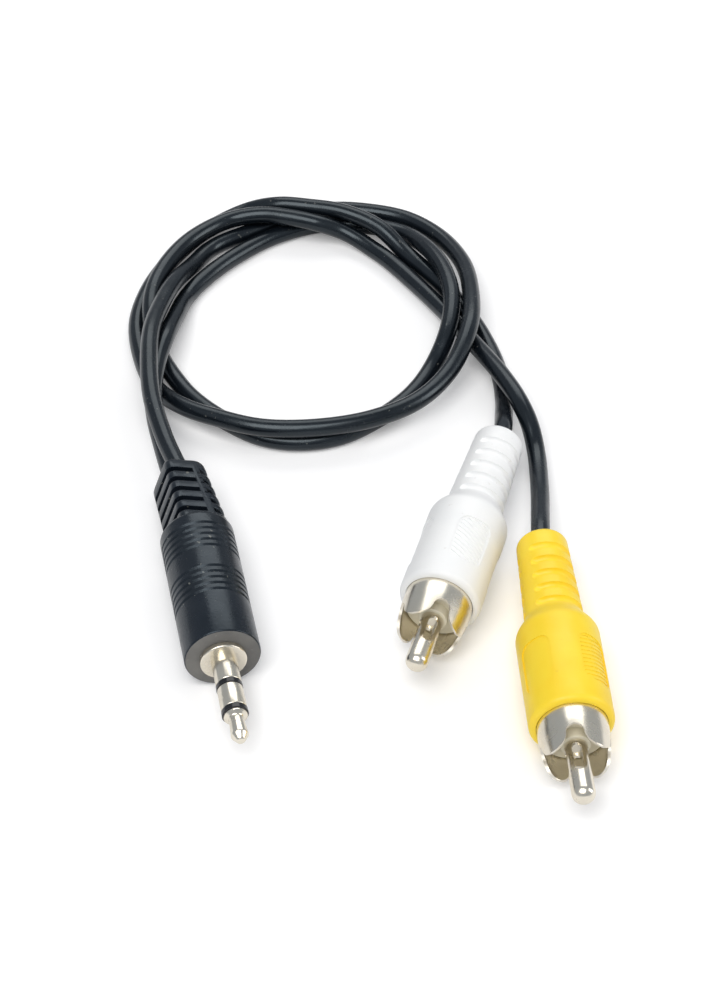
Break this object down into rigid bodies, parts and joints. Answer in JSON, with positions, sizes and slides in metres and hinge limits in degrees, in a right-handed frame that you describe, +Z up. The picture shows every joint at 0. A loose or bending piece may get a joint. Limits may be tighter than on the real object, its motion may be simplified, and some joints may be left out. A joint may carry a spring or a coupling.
{
  "type": "audio video cable",
  "caption": "Coiled black breakout cable from a moulded 3.5 mm stereo jack plug to a white and a yellow moulded RCA plug.",
  "frame": {"origin": "on the surface that the cable lies on, below the middle of the box round the plugs", "axes": "+Z up from the surface that the cable lies on, -Y towards the plugs' metal ends, +X to the right as seen from those ends"},
  "size_m": [0.0689, 0.1271, 0.0114],
  "materials": {
    "black_pvc": "soft black PVC, satin",
    "lead_jacket": "black PVC cable jacket, satin",
    "white_pvc": "soft white PVC, satin",
    "yellow_pvc": "soft yellow PVC, satin",
    "contact_metal": "nickel plate, polished",
    "contact_insulator": "black plastic, glossy",
    "inner_moulding": "black plastic, plain",
    "disc_plastic": "cream plastic, satin",
    "core_insulation": "wire insulation, plain",
    "tinned_copper": "tinned copper wire, plain"
  },
  "bodies": {
    "root": {"jack_overmould": "black_pvc", "jack_inner_mould": "inner_moulding", "jack_sleeve_contact": "contact_metal", "jack_rear_insulator": "contact_insulator", "jack_ring_contact": "contact_metal", "jack_front_insulator": "contact_insulator", "jack_tip_contact": "contact_metal", "jack_tip_core_wire": "core_insulation", "jack_ring_core_wire": "core_insulation", "jack_tip_shield_tail": "tinned_copper", "jack_ring_shield_tail": "tinned_copper", "white_overmould": "white_pvc", "white_inner_mould": "inner_moulding", "white_shell": "contact_metal", "white_insulator": "disc_plastic", "white_centre_pin": "contact_metal", "white_core_wire": "core_insulation", "white_shield_tail": "tinned_copper", "yellow_overmould": "yellow_pvc", "yellow_inner_mould": "inner_moulding", "yellow_shell": "contact_metal", "yellow_insulator": "disc_plastic", "yellow_centre_pin": "contact_metal", "yellow_core_wire": "core_insulation", "yellow_shield_tail": "tinned_copper", "white_lead": "lead_jacket", "yellow_lead": "lead_jacket"}
  },
  "joints": []
}
